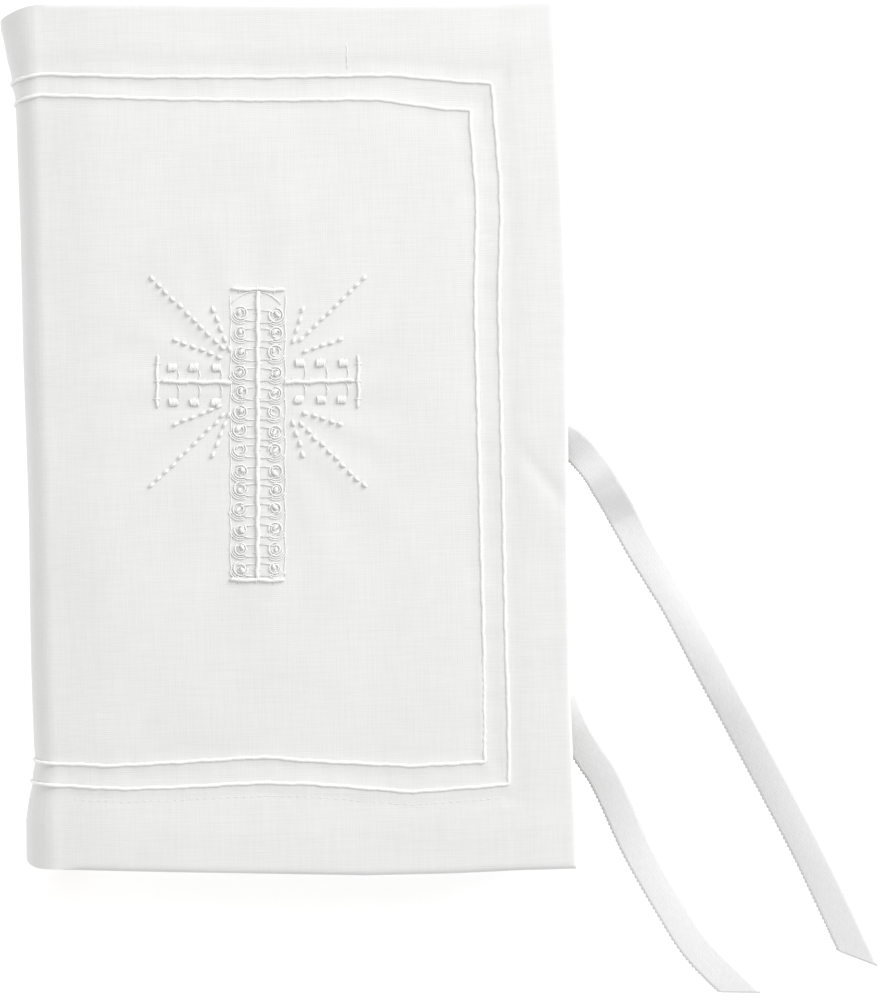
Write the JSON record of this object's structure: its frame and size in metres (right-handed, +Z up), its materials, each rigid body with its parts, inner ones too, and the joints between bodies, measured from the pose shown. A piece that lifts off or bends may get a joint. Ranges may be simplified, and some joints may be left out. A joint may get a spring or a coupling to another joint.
{
  "type": "prayer book",
  "caption": "Small prayer book in a white embroidered slip cover with a corded border, a rounded spine and satin ribbon ties; its covers and leaves open.",
  "frame": {"origin": "under the middle of the closed book, on the surface that its back cover lies on", "axes": "+X to the fore-edge, +Y to the head of the book, +Z up through the front cover"},
  "size_m": [0.1677, 0.1989, 0.0187],
  "materials": {
    "cover_cloth": "plain-weave white linen",
    "pocket_cloth": "plain-weave white linen",
    "thread": "white cotton thread",
    "satin": "white satin",
    "board": "grey-brown book board",
    "endpaper": "cream paper",
    "pages": "thin cream paper",
    "spine_card": "brown card",
    "mull": "open starched gauze"
  },
  "bodies": {
    "back_cover": {"back_cover_cloth": "cover_cloth", "back_board": "board", "back_pastedown": "endpaper", "back_pocket": "pocket_cloth", "back_outer_cord": "thread", "back_inner_cord": "thread", "back_ribbon": "satin"},
    "rear_flyleaf": {"rear_flyleaf": "endpaper"},
    "text_block": {"rear_section_1": "pages", "rear_section_2": "pages", "rear_section_3": "pages"},
    "leaf_2": {"leaf_2": "pages"},
    "leaf_1": {"leaf_1": "pages"},
    "front_section_2": {"front_section_2": "pages"},
    "front_section_1": {"front_section_1": "pages"},
    "front_flyleaf": {"front_flyleaf": "endpaper"},
    "spine": {"spine_cloth": "cover_cloth", "spine_strip": "spine_card", "mull": "mull", "headband": "thread", "tailband": "thread", "spine_head_outer_cord": "thread", "spine_head_inner_cord": "thread", "spine_tail_outer_cord": "thread", "spine_tail_inner_cord": "thread"},
    "front_cover": {"front_cover_cloth": "cover_cloth", "front_board": "board", "front_pastedown": "endpaper", "front_pocket": "pocket_cloth", "front_outer_cord": "thread", "front_inner_cord": "thread", "cross_embroidery": "thread", "ray_stitch_01": "thread", "ray_stitch_02": "thread", "ray_stitch_03": "thread", "ray_stitch_04": "thread", "ray_stitch_05": "thread", "ray_stitch_06": "thread", "ray_stitch_07": "thread", "ray_stitch_08": "thread", "ray_stitch_09": "thread", "ray_stitch_10": "thread", "ray_stitch_11": "thread", "ray_stitch_12": "thread"},
    "front_ribbon": {"front_ribbon": "satin"}
  },
  "joints": [
    {"name": "back_joint", "type": "hinge", "parent": "back_cover", "child": "text_block", "pos_m": [-0.0475, 0, -0.0003], "axis": [0, -1, 0], "range_deg": [0, 90]},
    {"name": "rear_flyleaf_turn", "type": "hinge", "parent": "back_cover", "child": "rear_flyleaf", "pos_m": [-0.0475, 0, -0.0003], "axis": [0, -1, 0], "range_deg": [0, 9]},
    {"name": "spine_joint", "type": "hinge", "parent": "text_block", "child": "spine", "pos_m": [-0.0475, 0, -0.0003], "axis": [0, -1, 0], "range_deg": [0, 90]},
    {"name": "front_joint", "type": "hinge", "parent": "spine", "child": "front_cover", "pos_m": [-0.0475, 0, 0.0188], "axis": [0, -1, 0], "range_deg": [0, 90]},
    {"name": "front_flyleaf_turn", "type": "hinge", "parent": "text_block", "child": "front_flyleaf", "pos_m": [-0.0475, 0, 0.009], "axis": [0, -1, 0], "range_deg": [0, 171]},
    {"name": "front_section_1_turn", "type": "hinge", "parent": "text_block", "child": "front_section_1", "pos_m": [-0.0475, 0, 0.009], "axis": [0, -1, 0], "range_deg": [0, 162]},
    {"name": "front_section_2_turn", "type": "hinge", "parent": "text_block", "child": "front_section_2", "pos_m": [-0.0475, 0, 0.009], "axis": [0, -1, 0], "range_deg": [0, 148.5]},
    {"name": "leaf_1_turn", "type": "hinge", "parent": "text_block", "child": "leaf_1", "pos_m": [-0.0475, 0, 0.009], "axis": [0, -1, 0], "range_deg": [0, 103.5]},
    {"name": "leaf_2_turn", "type": "hinge", "parent": "text_block", "child": "leaf_2", "pos_m": [-0.0475, 0, 0.009], "axis": [0, -1, 0], "range_deg": [0, 45]},
    {"name": "front_ribbon_swing", "type": "hinge", "parent": "front_cover", "child": "front_ribbon", "pos_m": [0.052, 0, 0.0129], "axis": [0, -1, 0], "range_deg": [0, 16]}
  ],
  "couplings": [
    {"joint": "rear_flyleaf_turn", "follows": "back_joint", "ratio": 0.1},
    {"joint": "spine_joint", "follows": "front_joint", "ratio": 1},
    {"joint": "front_flyleaf_turn", "follows": "front_joint", "ratio": 1.9},
    {"joint": "front_section_1_turn", "follows": "front_joint", "ratio": 1.8},
    {"joint": "front_section_2_turn", "follows": "front_joint", "ratio": 1.65},
    {"joint": "leaf_1_turn", "follows": "front_joint", "ratio": 1.15},
    {"joint": "leaf_2_turn", "follows": "front_joint", "ratio": 0.5},
    {"joint": "front_ribbon_swing", "follows": "front_joint", "ratio": 0.17}
  ]
}
